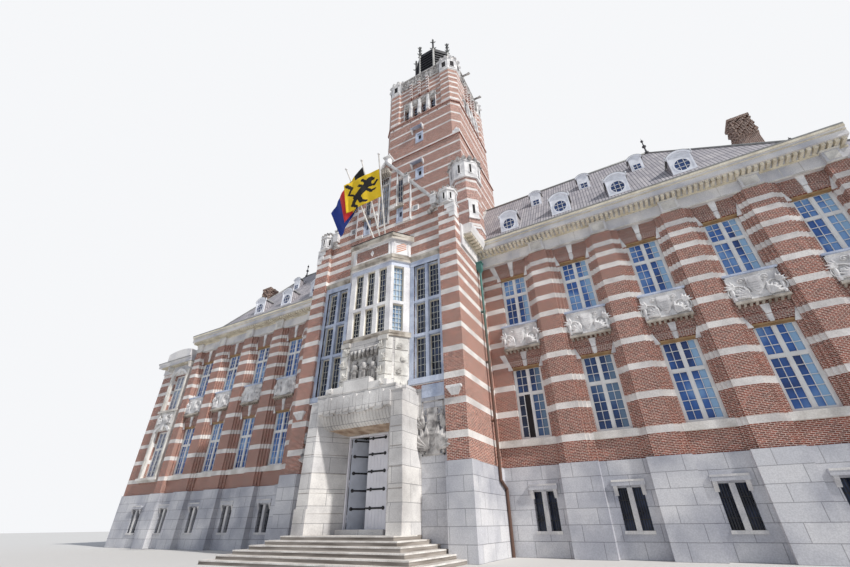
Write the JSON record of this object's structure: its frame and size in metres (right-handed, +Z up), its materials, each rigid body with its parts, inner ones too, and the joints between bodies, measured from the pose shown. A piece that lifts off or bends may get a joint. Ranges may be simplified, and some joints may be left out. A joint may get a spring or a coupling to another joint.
{
  "type": "courthouse, 1:2 scale model",
  "caption": "Banded brick and limestone courthouse: long two-storey wings, gabled centre with oriel and stone portal, tall belfry tower with a dark lantern; 1:2 scale model",
  "frame": {"origin": "on the ground, on the axis of the entrance, under the brick face of the wings", "axes": "+X along the street front to the right seen from the street, -Y towards the street, +Z up"},
  "size_m": [33.5, 11.865, 31.29],
  "materials": {
    "brick": "red-brown brick with pale stone bands",
    "limestone": "weathered pale limestone",
    "slate": "grey slates",
    "plaster": "plain inside surfaces",
    "white_paint": "white paint",
    "glass": "clear panes",
    "dark_paint": "near-black louvres",
    "oak": "dark boards",
    "iron": "black forged straps",
    "flag_cloth": "coloured flag cloth",
    "copper_paint": "aged copper"
  },
  "bodies": {
    "building": {"back_entablature": "limestone", "back_plinth": "limestone", "back_wall": "brick", "centre_floors": "plaster", "centre_front_wall": "brick", "centre_plinths": "limestone", "centre_roofs": "slate", "centre_side_cornices": "limestone", "centre_side_walls": "brick", "chimneys": "brick", "corner_piers": "brick", "door_frame": "oak", "dormers": "white_paint", "downpipes": "copper_paint", "end_bay_surrounds": "limestone", "end_entablatures": "limestone", "end_plinths": "limestone", "end_walls": "brick", "entrance_steps": "limestone", "flagpoles": "white_paint", "flags": "flag_cloth", "flank_windows": "limestone", "front_window_frames": "white_paint", "front_window_glass": "glass", "gable_coping": "limestone", "gables": "brick", "oriel": "limestone", "oriel_base": "limestone", "pier_bases": "limestone", "pinnacles": "limestone", "portal_jambs": "limestone", "portal_lintel": "limestone", "rear_window_frames": "white_paint", "rear_window_glass": "glass", "relief_panels": "limestone", "sill_courses": "limestone", "stair_turrets": "brick", "tower_belfry": "brick", "tower_lantern": "dark_paint", "tower_shaft": "brick", "tower_stage": "brick", "tower_turrets": "limestone", "wing_cornices": "limestone", "wing_floors": "plaster", "wing_front_plinths": "limestone", "wing_front_walls": "brick", "wing_pilasters": "brick", "wing_roofs": "slate"},
    "left_leaf": {"left_door_leaf": "oak", "left_leaf_straps": "iron"},
    "right_leaf": {"right_door_leaf": "oak", "right_leaf_straps": "iron"}
  },
  "joints": [
    {"name": "left_leaf_hinge", "type": "hinge", "parent": "building", "child": "left_leaf", "pos_m": [-0.657, -2.185, 1.75], "axis": [0, 0, 1], "range_deg": [-50, 45]},
    {"name": "right_leaf_hinge", "type": "hinge", "parent": "building", "child": "right_leaf", "pos_m": [0.657, -2.185, 1.75], "axis": [0, 0, -1], "range_deg": [0, 95]}
  ]
}
